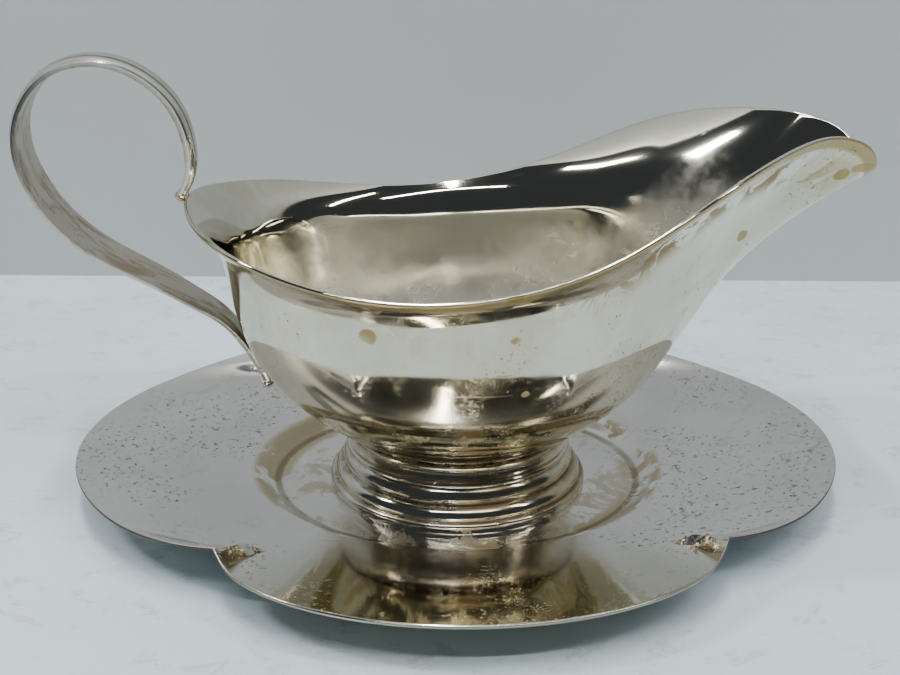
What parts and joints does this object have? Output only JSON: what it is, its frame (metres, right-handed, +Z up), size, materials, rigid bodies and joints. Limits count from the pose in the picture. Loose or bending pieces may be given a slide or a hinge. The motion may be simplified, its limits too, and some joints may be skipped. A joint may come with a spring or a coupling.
{
  "type": "sauce boat with tray",
  "caption": "Footed sauce boat with a broad pouring spout and a reeded loop handle, standing loose in the sunk well of a four-lobed tray.",
  "frame": {"origin": "middle of the tray's flat underside, on the table", "axes": "+X towards the pouring spout, +Z up, -Y the side that the picture shows"},
  "size_m": [0.2372, 0.204, 0.127],
  "materials": {
    "tray_silver": "worn silver plate, softly scratched, tarnished brown round the well",
    "foot_silver": "bright polished silver plate",
    "bowl_silver": "silver plate with yellow tarnish and brown spots outside, brighter inside",
    "handle_silver": "bright reeded outside, dull tarnished inside face",
    "solder": "dull brown solder"
  },
  "bodies": {
    "tray": {"tray": "tray_silver"},
    "boat": {"bowl": "bowl_silver", "foot": "foot_silver", "foot_solder": "solder", "handle": "handle_silver", "upper_solder": "solder", "lower_solder": "solder"}
  },
  "joints": [
    {"name": "boat_lift", "type": "slide", "parent": "tray", "child": "boat", "axis": [0, 0, 1], "range_m": [0, 0.13]}
  ]
}
